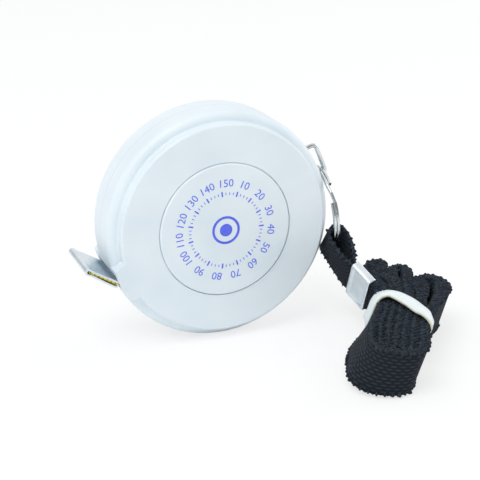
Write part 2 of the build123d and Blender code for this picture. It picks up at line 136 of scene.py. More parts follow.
def vector(tree, x, y, z):
    return addNode(tree, "ShaderNodeCombineXYZ", None, {"X": x, "Y": y, "Z": z}).outputs[0]


def parts(tree, whole):
    return addNode(tree, "ShaderNodeSeparateXYZ", None, {"Vector": whole}).outputs


def objectPlace(tree):
    return addNode(tree, "ShaderNodeTexCoord").outputs["Object"]


def noise(tree, place, size, detail):
    values = {"Vector": place, "Scale": 1 / size, "Detail": detail}
    return addNode(tree, "ShaderNodeTexNoise", None, values).outputs["Fac"]


def bumped(tree, height, strength, relief):
    values = {"Height": height, "Strength": strength, "Distance": relief * mm}
    return addNode(tree, "ShaderNodeBump", None, values).outputs["Normal"]


def spanned(tree, value, source, target, kind="LINEAR"):
    # one span of values carried to another
    values = {"Value": value, "From Min": source[0], "From Max": source[1], "To Min": target[0], "To Max": target[1]}
    return addNode(tree, "ShaderNodeMapRange", {"interpolation_type": kind}, values).outputs["Result"]


def mixed(tree, kind, factor, first, second):
    values = {"Factor": factor, "A": first, "B": second}
    return addNode(tree, "ShaderNodeMix", {"data_type": kind}, values).outputs["Result"]


def ramp(tree, factor, stops):
    node = addNode(tree, "ShaderNodeValToRGB", None, {"Fac": factor})
    bar = node.color_ramp
    while len(bar.elements) < len(stops):
        bar.elements.new(0.5)
    for element, (place, colour) in zip(bar.elements, stops):
        element.position = place
        element.color = linear(colour)
    return node.outputs["Color"]


def newMaterial(name):
    material = bpy.data.materials.new(name)
    material.use_nodes = True
    tree = material.node_tree
    tree.nodes.clear()
    shader = addNode(tree, "ShaderNodeBsdfPrincipled")
    addNode(tree, "ShaderNodeOutputMaterial", None, {"Surface": shader.outputs[0]})
    return material, tree, shader


# in the looks below, sizes and reliefs are in millimetres

# moulded ABS: satin, faintly blue white, with a fine spark-eroded skin and a hairline where the shells meet;
# the grain is coarser than the real skin, to show
absLook = {"shade": "#DCE8EF", "light": "#E6F0F6", "hairline": "#BFCDD6", "cloud": 14, "grain": 0.35,
           "rough": (0.36, 0.5), "bump": 0.12, "relief": 0.05, "seam": -8.15, "seamHalf": 0.05}


def mouldedAbs():
    material, tree, shader = newMaterial("mouldedSatinAbs")
    place = objectPlace(tree)
    cloud = noise(tree, place, absLook["cloud"] * mm, 2.0)
    grain = noise(tree, place, absLook["grain"] * mm, 3.0)
    tone = ramp(tree, cloud, [(0.3, absLook["shade"]), (0.7, absLook["light"])])
    seam = maths(tree, "COMPARE", parts(tree, place)["Y"], absLook["seam"] * mm, absLook["seamHalf"] * mm)
    setInputs(tree, shader, {
        "Base Color": mixed(tree, "RGBA", seam, tone, linear(absLook["hairline"])),
        "Roughness": spanned(tree, grain, (0, 1), absLook["rough"]),
        "Normal": bumped(tree, grain, absLook["bump"], absLook["relief"]), "IOR": 1.53,
    })
    return material


# natural nylon: milky, slightly waxy inner mouldings
nylonLook = {"shade": "#D8D6CC", "light": "#E6E4DB", "cloud": 3, "bump": 0.1, "relief": 0.1}


def naturalNylon():
    material, tree, shader = newMaterial("naturalNylon")
    cloud = noise(tree, objectPlace(tree), nylonLook["cloud"] * mm, 3.0)
    setInputs(tree, shader, {
        "Base Color": ramp(tree, cloud, [(0.3, nylonLook["shade"]), (0.7, nylonLook["light"])]),
        "Normal": bumped(tree, cloud, nylonLook["bump"], nylonLook["relief"]), "Roughness": 0.45, "IOR": 1.53,
    })
    return material


# rolled and drawn metals: streaks along the rolling direction break up the reflection
metalLooks = {
    "nickelPlatedWire": {"dark": "#CDD3D5", "light": "#E0E5E6", "rough": (0.10, 0.20),
                         "streak": (1.2, 1.2, 6.0), "bump": 0.04},
    "nickelPlatedSheet": {"dark": "#D0DAE1", "light": "#DDE7ED", "rough": (0.27, 0.33),
                          "streak": (9.0, 2.0, 9.0), "bump": 0.01},
    "brightAluminium": {"dark": "#DDE6EC", "light": "#EAF1F5", "rough": (0.28, 0.36),
                        "streak": (2.5, 2.5, 2.5), "bump": 0.03},
    "bluedSpringSteel": {"dark": "#3B4048", "light": "#5C646E", "rough": (0.25, 0.4),
                         "streak": (2.0, 0.4, 2.0), "bump": 0.05},
}
streakRelief = 0.1


def sheetMetal(name):
    look = metalLooks[name]
    material, tree, shader = newMaterial(name)
    scale = tuple(1 / (size * mm) for size in look["streak"])
    stretched = addNode(tree, "ShaderNodeMapping", None, {"Vector": objectPlace(tree), "Scale": scale})
    streak = noise(tree, stretched.outputs[0], 1.0, 4.0)
    setInputs(tree, shader, {
        "Base Color": ramp(tree, streak, [(0.35, look["dark"]), (0.65, look["light"])]),
        "Roughness": spanned(tree, streak, (0, 1), look["rough"]), "Metallic": 1.0,
        "Normal": bumped(tree, streak, look["bump"], streakRelief),
    })
    return material


# coated glass-fibre tape: matt yellow with printed millimetre, half and whole centimetre lines
tapeLook = {"yellow": "#EBDA4E", "deep": "#DFCA3C", "ink": "#23241F", "weave": 0.4, "bump": 0.15, "relief": 0.05,
            "halfWidth": 6.35, "lines": [(1.0, 0.14, 2.6), (5.0, 0.16, 4.2), (10.0, 0.2, 6.2)]}  # spacing, line, length


def coatedTape():
    material, tree, shader = newMaterial("coatedGlassFibreTape")
    place = objectPlace(tree)
    along = addNode(tree, "ShaderNodeVectorMath", {"operation": "DOT_PRODUCT"}, {0: place, 1: tapePlace["along"]})
    weave = noise(tree, place, tapeLook["weave"] * mm, 2.0)
    ground = ramp(tree, weave, [(0.3, tapeLook["deep"]), (0.7, tapeLook["yellow"])])
    edge = (tapePlace["foot"].y - tapeLook["halfWidth"]) * mm
    fromEdge = maths(tree, "SUBTRACT", parts(tree, place)["Y"], edge)
    printed = 0.0
    for spacing, width, reach in tapeLook["lines"]:
        step = maths(tree, "FRACT", maths(tree, "DIVIDE", along.outputs["Value"], spacing * mm))
        line = maths(tree, "LESS_THAN", step, width / spacing)
        near = maths(tree, "LESS_THAN", fromEdge, reach * mm)
        printed = maths(tree, "MAXIMUM", maths(tree, "MULTIPLY", line, near), printed)
    setInputs(tree, shader, {
        "Base Color": mixed(tree, "RGBA", printed, ground, linear(tapeLook["ink"])),
        "Normal": bumped(tree, weave, tapeLook["bump"], tapeLook["relief"]), "Roughness": 0.5, "IOR": 1.5,
    })
    return material


# the wound tape seen from its sides: fine rings, one for each turn, with painted shade in the gap between turns
woundLook = {"gap": "#8C7A22", "turn": 0.15}


def woundTape():
    material, tree, shader = newMaterial("woundGlassFibreTape")
    flat = addNode(tree, "ShaderNodeVectorMath", {"operation": "MULTIPLY"}, {0: objectPlace(tree), 1: (1, 0, 1)})
    radius = addNode(tree, "ShaderNodeVectorMath", {"operation": "LENGTH"}, {0: flat.outputs[0]})
    # darkest at each turn's edge: painted shade in the gap between one turn and the next
    turns = maths(tree, "PINGPONG", radius.outputs["Value"], woundLook["turn"] * mm)
    share = maths(tree, "DIVIDE", turns, woundLook["turn"] * mm)
    setInputs(tree, shader, {
        "Base Color": ramp(tree, share, [(0.0, woundLook["gap"]), (0.4, tapeLook["yellow"])]), "Roughness": 0.55,
    })
    return material


# woven polyester: charcoal yarn floating in short dashes along the strap, each row half a dash on from the last;
# painted shade between the dashes, painted highlight on their crowns
weaveLook = {"deep": "#1A1F26", "yarn": "#20272F", "crown": "#303943", "dash": 1.65, "row": 0.72, "fuzz": 0.625,
             "rowCrown": (0.06, 0.5), "dashCrown": (0.0, 0.42), "dashEnd": 0.15, "bump": 0.9, "relief": 0.18}
yarnShine = {"Roughness": 0.8, "Specular IOR Level": 0.12, "Sheen Weight": 0.02, "Sheen Roughness": 0.4}


def wovenPolyester():
    material, tree, shader = newMaterial("wovenPolyester")
    weaveMap = addNode(tree, "ShaderNodeUVMap", {"uv_map": "weave"}).outputs["UV"]
    fuzz = noise(tree, weaveMap, weaveLook["fuzz"], 3.0)
    ways = parts(tree, weaveMap)
    rows = maths(tree, "DIVIDE", ways["Y"], weaveLook["row"])
    dashes = maths(tree, "DIVIDE", ways["X"], weaveLook["dash"])
    staggered = maths(tree, "MULTIPLY_ADD", maths(tree, "FLOOR", rows), 0.5, dashes)
    acrossRow = maths(tree, "PINGPONG", rows, 0.5)
    alongDash = maths(tree, "PINGPONG", staggered, 0.5)
    rowCrown = spanned(tree, acrossRow, weaveLook["rowCrown"], (0, 1), "SMOOTHSTEP")
    dashCrown = spanned(tree, alongDash, weaveLook["dashCrown"], (weaveLook["dashEnd"], 1), "SMOOTHSTEP")
    crown = maths(tree, "MULTIPLY", rowCrown, dashCrown)
    # random fuzz plus the crowns, which put a painted highlight on the dashes and painted shade between them
    fuzzAndPaintedLight = maths(tree, "MULTIPLY_ADD", fuzz, 0.5, crown)
    tones = [(0.2, weaveLook["deep"]), (0.7, weaveLook["yarn"]), (1.0, weaveLook["crown"])]
    setInputs(tree, shader, {
        "Base Color": ramp(tree, fuzzAndPaintedLight, tones),
        "Normal": bumped(tree, crown, weaveLook["bump"], weaveLook["relief"]), **yarnShine,
    })
    return material


# knitted selvedge: the same yarn in tight loops, lighter on their crowns
knitLook = {"deep": "#191D24", "crown": "#3A434E", "fuzz": 0.7, "bump": 0.5, "relief": 0.15}


def knittedYarn():
    material, tree, shader = newMaterial("knittedSelvedge")
    fuzz = noise(tree, objectPlace(tree), knitLook["fuzz"] * mm, 3.0)
    setInputs(tree, shader, {
        "Base Color": ramp(tree, fuzz, [(0.3, knitLook["deep"]), (0.7, knitLook["crown"])]),
        "Normal": bumped(tree, fuzz, knitLook["bump"], knitLook["relief"]), **yarnShine,
    })
    return material


# pale natural rubber: chalky face, cream on its cut edges, faint lengthwise drag lines
bandLook = {"face": "#EEF5F7", "drag": "#DCE7EA", "edge": "#DDD9B8", "edgeSpan": (1.3, 1.42), "edgeShare": 0.8,
            "line": 0.35, "lengthwise": 0.12, "bump": 0.2, "relief": 0.1}


def paleRubber():
    material, tree, shader = newMaterial("paleNaturalRubber")
    bandMap = addNode(tree, "ShaderNodeUVMap", {"uv_map": "weave"}).outputs["UV"]
    scale = (bandLook["lengthwise"], 1 / bandLook["line"], 1)
    stretched = addNode(tree, "ShaderNodeMapping", None, {"Vector": bandMap, "Scale": scale})
    drag = noise(tree, stretched.outputs[0], 1.0, 3.0)
    fromMiddle = maths(tree, "ABSOLUTE", parts(tree, bandMap)["Y"])
    edge = spanned(tree, fromMiddle, bandLook["edgeSpan"], (0, bandLook["edgeShare"]))
    face = ramp(tree, drag, [(0.35, bandLook["drag"]), (0.65, bandLook["face"])])
    setInputs(tree, shader, {
        "Base Color": mixed(tree, "RGBA", edge, face, linear(bandLook["edge"])),
        "Normal": bumped(tree, drag, bandLook["bump"], bandLook["relief"]), "Roughness": 0.55, "IOR": 1.52,
    })
    return material


# pad-printed ink: thin violet-blue film, a little uneven where the pad lifted
inkLook = {"full": "#4E60E8", "thin": "#6273EF", "cloud": 0.8}


def padInk():
    material, tree, shader = newMaterial("padPrintInk")
    cloud = noise(tree, objectPlace(tree), inkLook["cloud"] * mm, 3.0)
    setInputs(tree, shader, {
        "Base Color": ramp(tree, cloud, [(0.3, inkLook["full"]), (0.7, inkLook["thin"])]), "Roughness": 0.5,
    })
    return material


absWhite = mouldedAbs()
nylon = naturalNylon()
wireNickel = sheetMetal("nickelPlatedWire")
sheetNickel = sheetMetal("nickelPlatedSheet")
aluminium = sheetMetal("brightAluminium")
springSteel = sheetMetal("bluedSpringSteel")
yellowTape = coatedTape()
tapeRings = woundTape()
polyester = wovenPolyester()
selvedge = knittedYarn()
rubber = paleRubber()
ink = padInk()

nodeFinishes = {
    "front_shell": absWhite, "back_shell": absWhite, "push_button": absWhite,
    "brake_ring": nylon, "spring_cover": nylon, "spool": nylon,
    "button_spring": springSteel, "mainspring": springSteel,
    "tape_winding": tapeRings, "tape_lead": yellowTape, "end_tab": sheetNickel,
    "bail": wireNickel, "split_ring": wireNickel, "lanyard_crimp": aluminium,
    "lanyard_loop": polyester, "lanyard_strap": polyester, "lanyard_hank": polyester, "rubber_band": rubber,
}
for nodeName, finish in nodeFinishes.items():
    nodeMesh = nodes[nodeName].data
    nodeMesh.materials.clear()
    nodeMesh.materials.append(finish)
print("materials on", len(nodeFinishes), "nodes")


# camera at the photograph's angle
cameraSet = {"place": (-0.0914, -0.2567, 0.0919), "aim": (0.00257, -0.01806, -0.00205), "lens": 97.4,
             "sensor": 36, "nearest": 0.01}
camera = bpy.data.objects.new("camera", bpy.data.cameras.new("camera"))
scene.collection.objects.link(camera)
camera.location = cameraSet["place"]
camera.rotation_euler = (Vector(cameraSet["aim"]) - camera.location).to_track_quat("-Z", "Y").to_euler()
camera.data.lens = cameraSet["lens"]
camera.data.sensor_width = cameraSet["sensor"]
camera.data.clip_start = cameraSet["nearest"]
scene.camera = camera

# pale floor, soft lamps, and a studio that metal mirrors darker behind the camera and to the left
studio = {"floor": "#FBFCFD", "floorGlow": 0.7, "floorHalf": 3.0, "ambient": 0.69,
          "dark": 0.3, "darkSpan": (-0.9, 0.1), "side": 0.55, "sideSpan": (-0.55, 0.05),
          "key": {"place": (-0.5, -0.35, 0.95), "size": 0.8, "power": 5.6},
          "fill": {"place": (0.8, 0.05, 0.3), "size": 0.6, "power": 1.4}}
plainWhite = (1, 1, 1, 1)


def floorMaterial():
    material = bpy.data.materials.new("paleStudioFloor")
    material.use_nodes = True
    tree = material.node_tree
    tree.nodes.clear()
    rays = addNode(tree, "ShaderNodeLightPath").outputs
    seen = maths(tree, "MULTIPLY", rays["Is Camera Ray"], studio["floorGlow"])
    flat = addNode(tree, "ShaderNodeBsdfDiffuse", None, {"Color": linear(studio["floor"])})
    glow = addNode(tree, "ShaderNodeEmission", None, {"Color": plainWhite, "Strength": 1.0})
    both = addNode(tree, "ShaderNodeMixShader", None, {0: seen, 1: flat.outputs[0], 2: glow.outputs[0]})
    addNode(tree, "ShaderNodeOutputMaterial", None, {"Surface": both.outputs[0]})
    return material


def studioWorld():
    world = bpy.data.worlds.new("studio")
    world.use_nodes = True
    tree = world.node_tree
    tree.nodes.clear()
    rays = addNode(tree, "ShaderNodeLightPath").outputs
    ways = parts(tree, addNode(tree, "ShaderNodeTexCoord").outputs["Generated"])
    behind = spanned(tree, ways["Y"], studio["darkSpan"], (studio["dark"], 1))
    beside = spanned(tree, ways["X"], studio["sideSpan"], (studio["side"], 1))
    mirrored = maths(tree, "MAXIMUM", rays["Is Glossy Ray"], rays["Is Transmission Ray"])
    soft = mixed(tree, "FLOAT", mirrored, studio["ambient"], maths(tree, "MULTIPLY", behind, beside))
    level = mixed(tree, "FLOAT", rays["Is Camera Ray"], soft, 1.0)
    sky = addNode(tree, "ShaderNodeBackground", None, {"Color": plainWhite, "Strength": level})
    addNode(tree, "ShaderNodeOutputWorld", None, {"Surface": sky.outputs[0]})
    return world


floorMesh = bpy.data.meshes.new("studioFloor")
floorHalf = studio["floorHalf"]
floorCorners = [(x * floorHalf, y * floorHalf, cadLow.z) for x, y in ((-1, -1), (1, -1), (1, 1), (-1, 1))]
floorMesh.from_pydata(floorCorners, [], [(0, 1, 2, 3)])
floor = bpy.data.objects.new("studioFloor", floorMesh)
scene.collection.objects.link(floor)
floorMesh.materials.append(floorMaterial())
scene.world = studioWorld()

for lampName in ("key", "fill"):
    lampSet = studio[lampName]
    lampData = bpy.data.lights.new(lampName + "Lamp", "AREA")
    lampData.shape = "DISK"
    lampData.size = lampSet["size"]
    lampData.energy = lampSet["power"]
    lamp = bpy.data.objects.new(lampName + "Lamp", lampData)
    scene.collection.objects.link(lamp)
    lamp.location = lampSet["place"]
    lamp.rotation_euler = (-lamp.location).to_track_quat("-Z", "Y").to_euler()
print("camera, floor and light placed")


# mesh helpers
def addPiece(name, mesh, body, finish):
    piece = bpy.data.objects.new(name, mesh)
    scene.collection.objects.link(piece)
    mesh.materials.clear()
    mesh.materials.append(finish)
    if body:
        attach(piece, body)
    return piece


def frozen(holder):
    # the evaluated shape of an object as a plain mesh; the object itself goes
    scene.collection.objects.link(holder)
    bpy.context.view_layer.update()
    mesh = bpy.data.meshes.new_from_object(holder.evaluated_get(bpy.context.evaluated_depsgraph_get()))
    bpy.data.objects.remove(holder)
    return mesh


def smoothLine(points, resolution=32):
    # the route's NURBS spline, read back as points
    curve = bpy.data.curves.new("route", "CURVE")
    curve.dimensions = "3D"
    curve.resolution_u = resolution
    spline = curve.splines.new("NURBS")
    spline.points.add(len(points) - 1)
    for knot, point in zip(spline.points, points):
        knot.co = (*point, 1)
    spline.order_u = 3
    spline.use_endpoint_u = True
    spline.resolution_u = resolution
    read = frozen(bpy.data.objects.new("route", curve))
    line = [vertex.co.copy() for vertex in read.vertices]
    bpy.data.curves.remove(curve)
    bpy.data.meshes.remove(read)
    return line


def evenly(points, step, followers=None):
    # the same line at one spacing, and what follows it spaced with it
    ways = [0.0]
    for a, b in zip(points, points[1:]):
        ways.append(ways[-1] + (b - a).length)
    count = max(2, round(ways[-1] / step))
    spaced, carried, index = [], [], 0
    for number in range(count + 1):
        target = ways[-1] * number / count
        while index < len(points) - 2 and ways[index + 1] < target:
            index += 1
        run = ways[index + 1] - ways[index]
        share = (target - ways[index]) / run if run > 1e-9 else 0.0
        spaced.append(points[index].lerp(points[index + 1], share))
        if followers:
            carried.append(followers[index] + (followers[index + 1] - followers[index]) * share)
    return (spaced, carried) if followers else spaced


def sideways(points, across, closed):
    # tangents, and the across directions squared to them
    count = len(points)
    tangents, squared = [], []
    for index in range(count):
        after = points[(index + 1) % count if closed else min(index + 1, count - 1)]
        before = points[(index - 1) % count if closed else max(index - 1, 0)]
        tangent = (after - before).normalized()
        tangents.append(tangent)
        squared.append((across[index] - tangent * across[index].dot(tangent)).normalized())
    return tangents, squared


def sweptStrip(name, points, across, section, closed, shaped, spread=None):
    # a flat section carried along a line; the map runs along it in u and across it in v, in millimetres
    tangents, wide = sideways(points, across, closed)
    count, sides = len(points), len(section)
    vertices, ways, way = [], [], 0.0
    for index, point in enumerate(points):
        normal = tangents[index].cross(wide[index])
        for v, n in section:
            reach = v * (spread[index] if spread else 1)
            vertices.append((point + wide[index] * reach + normal * shaped(index, v, n)) * mm)
        ways.append(way)
        way += (points[(index + 1) % count] - point).length
    ways.append(way)
    faces, corners = [], []
    for index in range(count if closed else count - 1):
        here, there = index * sides, (index + 1) % count * sides
        for side in range(sides):
            nextSide = (side + 1) % sides
            faces.append((here + side, here + nextSide, there + nextSide, there + side))
            low, high = section[side][0], section[nextSide][0]
            corners += [(ways[index], low), (ways[index], high), (ways[index + 1], high), (ways[index + 1], low)]
    if not closed:
        faces.append(tuple(range(sides))[::-1])
        faces.append(tuple(range((count - 1) * sides, count * sides)))
        corners += [(ways[0], v) for v, n in section[::-1]] + [(ways[count - 1], v) for v, n in section]
    mesh = bpy.data.meshes.new(name)
    mesh.from_pydata(vertices, [], faces)
    layer = mesh.uv_layers.new(name="weave")
    for entry, corner in zip(layer.data, corners):
        entry.uv = corner
    mesh.polygons.foreach_set("use_smooth", [True] * len(mesh.polygons))
    mesh.update()
    return mesh, way


def newTree(name, sockets):
    tree = bpy.data.node_groups.new(name, "GeometryNodeTree")
    tree.interface.new_socket("Geometry", in_out="INPUT", socket_type="NodeSocketGeometry")
    for socketName, kind in sockets.items():
        tree.interface.new_socket(socketName, in_out="INPUT", socket_type="NodeSocket" + kind)
    tree.interface.new_socket("Geometry", in_out="OUTPUT", socket_type="NodeSocketGeometry")
    return tree, addNode(tree, "NodeGroupInput").outputs


def endTree(tree, geometry, finish):
    real = addNode(tree, "GeometryNodeRealizeInstances", None, {"Geometry": geometry})
    finished = addNode(tree, "GeometryNodeSetMaterial", None, {"Geometry": real.outputs[0], "Material": finish})
    addNode(tree, "NodeGroupOutput", None, {"Geometry": finished.outputs[0]})


def grown(name, tree, values, mesh=None):
    # runs a tree on a mesh and keeps the result as a plain mesh
    holder = bpy.data.objects.new(name, mesh or bpy.data.meshes.new(name))
    modifier = holder.modifiers.new(name, "NODES")
    modifier.node_group = tree
    for item in tree.interface.items_tree:
        if item.in_out == "INPUT" and item.name in values:
            modifier[item.identifier] = values[item.name]
    result = frozen(holder)
    result.name = name
    return result


# webbing clamp, and the webbing that it holds: one closed band, from the ring's loop through the crimp, along the hank
# and back
crimp = {"long": 5.8, "wide": 11.1, "thick": 1.96, "wall": 0.5, "corner": 0.4, "bends": (30, 60, 90), "sharp": 40,
         "dish": 0.42, "rimWide": 0.7, "rimLong": 0.55, "forward": 0.95}
webbing = {"width": 10.0, "body": 9.3, "edge": 0.12, "thick": 0.86, "layer": 0.48, "loopThick": 0.74, "step": 0.4,
           "pressedThick": 0.5, "pressedLayer": 0.27, "looseThick": 1.1, "looseLayer": 0.6,
           "leftLean": 0.6, "rightLean": 0.3, "farLean": 0.27, "lastLean": 1.45,
           "waistHeight": 5.2, "nearHeight": 4.75, "loopFlare": 0.13, "loopPinch": 0.2, "wideLoop": 2.4}
# where a change starts and is full: along the route, along and across the hank, and out along the ring's loop, in
# millimetres, and for the loop's swelling in points of the route
webbingSpans = {
    "freed": (2.5, 6.0), "twisted": (2.5, 14.0), "laid": (30.0, 60.0),
    "waist": (-11.0, -4.0), "far": (11.0, 24.0), "farLean": (5.0, 18.0),
    "lean": (-4.0, 7.5), "lastLean": (5.0, 7.0), "wideLoop": (1.0, -1.5),
    "loopFlare": (-3.5, -6.0), "loopPinch": (-4.0, -12.0), "loopSwell": (7, 16),
}
stitch = {"pitch": 0.68, "long": 0.66, "thick": 0.29, "high": 0.5, "aside": 0.24, "slant": 56.0, "uneven": 0.2,
          "doubled": 1.3, "stray": 0.06, "strayTurn": 1.7, "sway": 0.3, "swayTurn": 2.4, "seed": 4,
          "crimpReach": 6, "crimpGap": 0.2, "segments": 7, "rings": 5}
# what each stitch carries into the tree
stitchMarkKinds = {"alongWay": "FLOAT_VECTOR", "acrossWay": "FLOAT_VECTOR", "side": "FLOAT", "swell": "FLOAT"}
# routes: along and left on the hank's frame, fold by fold; from the crimp down to the hank; and along and square on the
# crimp's frame, round the ring's wire
hankRoute = [
    (9.5, 6.2), (2, 7.2), (-3, 6.8),
    (-9.0, 6.0), (-12.5, 3.2), (-12.8, -2.0), (-10.2, -5.2), (-3, -4.3), (2, -3.9),
    (10, -4.6), (17, -5.7), (24, -6.2), (27.6, -3.6), (25, -0.6), (18, -1.8), (10, -2.4),
    (2, -2.25), (-3, -2.4), (-8.2, -2.8), (-10.2, -3.0), (-10.3, -0.9), (-8.2, -1.0), (-3, -0.5), (2, -0.3),
    (10, -0.3), (18, 1.0), (28, 2.5), (32.2, 3.1), (31.8, 5.5), (27, 5.8), (18, 2.7), (10, 1.6),
    (2, 1.65), (-3, 1.35), (-8.5, 0.8), (-10.6, 0.55), (-10.8, 2.6), (-8.5, 2.55), (-3, 3.2), (2, 3.6),
    (10, 3.2), (18, 3.9), (28, 7.1), (34.6, 7.3), (34.0, 9.6), (27.5, 9.6), (18, 5.0), (10, 4.75),
    (2, 5.45), (-3, 5.0), (-9.2, 4.1),
]
strapStart = (0, 1.0, 3.2)
strapFall = [(16.5, 6.6, 7.7), (13.5, 6.1, 6.3)]
ringLoop = [
    (0, 0.68), (-2.9, 0.68), (-6.0, -0.15), (-9.2, -1.4), (-12.2, -1.95), (-13.5, -1.3),
    (-13.6, 0.3), (-12.4, 1.15), (-9.6, 1.5), (-6.0, 1.5), (-2.9, 1.22), (0, 1.22),
]
foldedEnd = ((0.7, 0.7), (0, 1), (-0.7, 0.7))  # the half turn at the band's far end, sideways and outward


def within(span, value):
    return eased(*webbingSpans[span], value)


def between(low, high, share):
    return webbing[low] + (webbing[high] - webbing[low]) * share


def webbingPath():
    route = [onCrimp(along, crimp["forward"]) for along in strapStart] + [onHank(*point) for point in strapFall]
    route += [onHank(x, y, between("nearHeight", "waistHeight", within("waist", x))) for x, y in hankRoute]
    line = evenly(smoothLine(route), webbing["step"])
    pressed = crimpTurn(0) @ crimpPlace["across"]
    across, reaches, thick, way = [], [], [], 0.0
    for index, point in enumerate(line):
        way += (point - line[index - 1]).length if index else 0.0
        x = (point - hankPlace["origin"]).dot(hankPlace["along"])
        y = (point - hankPlace["origin"]).dot(hankPlace["left"])
        lean = between("rightLean", "leftLean", within("lean", y))
        farLean = webbing["farLean"] * (1 - webbing["lastLean"] * within("lastLean", y))
        lean += (farLean - lean) * within("farLean", x)
        across.append(pressed.lerp(Vector((0, 0, 1)) - hankPlace["left"] * lean, within("twisted", way)))
        free = within("freed", way)
        far = within("far", x) * within("laid", way) * (1 + webbing["wideLoop"] * within("wideLoop", y))
        reaches.append(between("pressedLayer", "layer", free) + (webbing["looseLayer"] - webbing["layer"]) * far)
        thick.append(between("pressedThick", "thick", free) + (webbing["looseThick"] - webbing["thick"]) * far)
    tangents, wide = sideways(line, across, False)
    there, back = [], []
    for point, along, up, reach in zip(line, tangents, wide, reaches):
        normal = along.cross(up)
        there.append(point + normal * reach)
        back.append(point - normal * reach)
    normal = tangents[-1].cross(wide[-1])
    ending = [line[-1] + normal * reaches[-1] * side + tangents[-1] * reaches[-1] * out for side, out in foldedEnd]
    loop = evenly(smoothLine([onCrimp(a, s) for a, s in ringLoop]), webbing["step"])[1:-1]
    loopAcross, loopThick, loopSpread = [], [], []
    for index, point in enumerate(loop):
        aside = (point - crimpPlace["middle"]).dot(crimpPlace["square"])
        out = (point - crimpPlace["middle"]).dot(crimpPlace["along"])
        flare = (aside - crimp["forward"]) * webbing["loopFlare"] * within("loopFlare", out)
        loopAcross.append(crimpTurn(out) @ crimpPlace["across"] + crimpPlace["square"] * flare)
        loopThick.append(between("pressedThick", "loopThick", within("loopSwell", min(index, len(loop) - index))))
        loopSpread.append(1 - webbing["loopPinch"] * within("loopPinch", out))
    ends = len(foldedEnd)
    points = there + ending + back[::-1] + loop
    across = wide + [wide[-1]] * ends + wide[::-1] + loopAcross
    thick += [thick[-1]] * ends + thick[::-1] + loopThick
    return points, across, thick, [1.0] * (len(points) - len(loop)) + loopSpread


def stitchTree():
    # slanted beads along both edges, leaning one way and the other in turn
    tree, inputs = newTree("selvedgeStitches", {
        "Long": "Float", "Thick": "Float", "High": "Float", "Slant": "Float", "Uneven": "Float", "Seed": "Int",
        "Finish": "Material"})
    ball = addNode(tree, "GeometryNodeMeshUVSphere", None,
                   {"Segments": stitch["segments"], "Rings": stitch["rings"], "Radius": 1.0})
    size = vector(tree, inputs["Long"], inputs["Thick"], inputs["High"])
    bead = addNode(tree, "GeometryNodeTransform", None, {"Geometry": ball.outputs["Mesh"], "Scale": size})
    marks = {}
    for name, kind in stitchMarkKinds.items():
        mark = addNode(tree, "GeometryNodeInputNamedAttribute", {"data_type": kind}, {"Name": name})
        marks[name] = mark.outputs["Attribute"]
    turn = addNode(tree, "FunctionNodeAxesToRotation", {"primary_axis": "Z", "secondary_axis": "X"},
                   {0: marks["acrossWay"], 1: marks["alongWay"]})
    slant = vector(tree, 0.0, 0.0, maths(tree, "MULTIPLY", inputs["Slant"], marks["side"]))
    slanted = addNode(tree, "FunctionNodeEulerToRotation", None, {0: slant})
    placed = addNode(tree, "FunctionNodeRotateRotation", {"rotation_space": "LOCAL"},
                     {0: turn.outputs[0], 1: slanted.outputs[0]})
    least = maths(tree, "SUBTRACT", 1.0, inputs["Uneven"])
    most = maths(tree, "ADD", 1.0, inputs["Uneven"])
    chance = addNode(tree, "FunctionNodeRandomValue", {"data_type": "FLOAT"},
                     {2: least, 3: most, "Seed": inputs["Seed"]}).outputs[1]
    scale = vector(tree, chance, maths(tree, "MULTIPLY", chance, marks["swell"]), chance)
    stitches = addNode(tree, "GeometryNodeInstanceOnPoints", None, {
        "Points": inputs["Geometry"], "Instance": bead.outputs[0], "Rotation": placed.outputs[0], "Scale": scale})
    solid = addNode(tree, "GeometryNodeRealizeInstances", None, {"Geometry": stitches.outputs[0]})
    shaded = addNode(tree, "GeometryNodeSetShadeSmooth", None, {"Geometry": solid.outputs[0]})
    endTree(tree, shaded.outputs[0], inputs["Finish"])
    return tree


webbingPoints, webbingAcross, webbingThick, webbingSpread = webbingPath()
halfBody = webbing["body"] / 2
columns = [halfBody * share for share in (-1, -0.5, 0, 0.5, 1)]
webbingSection = ([(v, -0.5) for v in columns] + [(halfBody + webbing["edge"], 0)]
                  + [(v, 0.5) for v in columns[::-1]] + [(-halfBody - webbing["edge"], 0)])
webbingMesh, webbingLength = sweptStrip("lanyardWebbing", webbingPoints, webbingAcross, webbingSection, True,
                                        lambda index, v, n: n * webbingThick[index], webbingSpread)
lanyard = addPiece("lanyardWebbing", webbingMesh, "lanyard", polyester)


def atStitches(values):
    # the closed band's points at the stitches' spacing, and the values that belong to them
    return evenly(webbingPoints + webbingPoints[:1], stitch["pitch"], values + values[:1])


